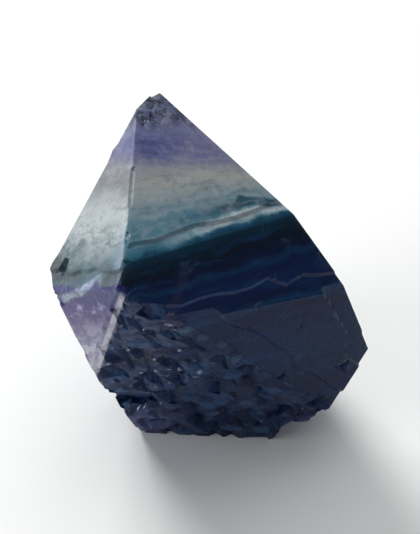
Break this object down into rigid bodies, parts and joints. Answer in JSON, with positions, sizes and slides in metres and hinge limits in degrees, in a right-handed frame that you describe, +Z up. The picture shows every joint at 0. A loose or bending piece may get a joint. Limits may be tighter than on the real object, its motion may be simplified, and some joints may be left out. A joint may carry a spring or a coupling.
{
  "type": "fluorite octahedron",
  "caption": "Rough natural fluorite octahedron, cleaved faces banded violet, green and deep blue, resting on a flat break.",
  "frame": {"origin": "middle of the footprint box, on the surface that the stone rests on", "axes": "+Z up from the flat break at the foot, -Y towards the side that the picture is taken from, +X to the right as seen from there"},
  "size_m": [0.0366, 0.0298, 0.041],
  "materials": {
    "fluorite": "see-through to translucent crystal, glassy cleavage faces with colour bands of violet, pale green, teal and navy, worn pale edges"
  },
  "bodies": {
    "root": {"fluorite_octahedron": "fluorite"}
  },
  "joints": []
}
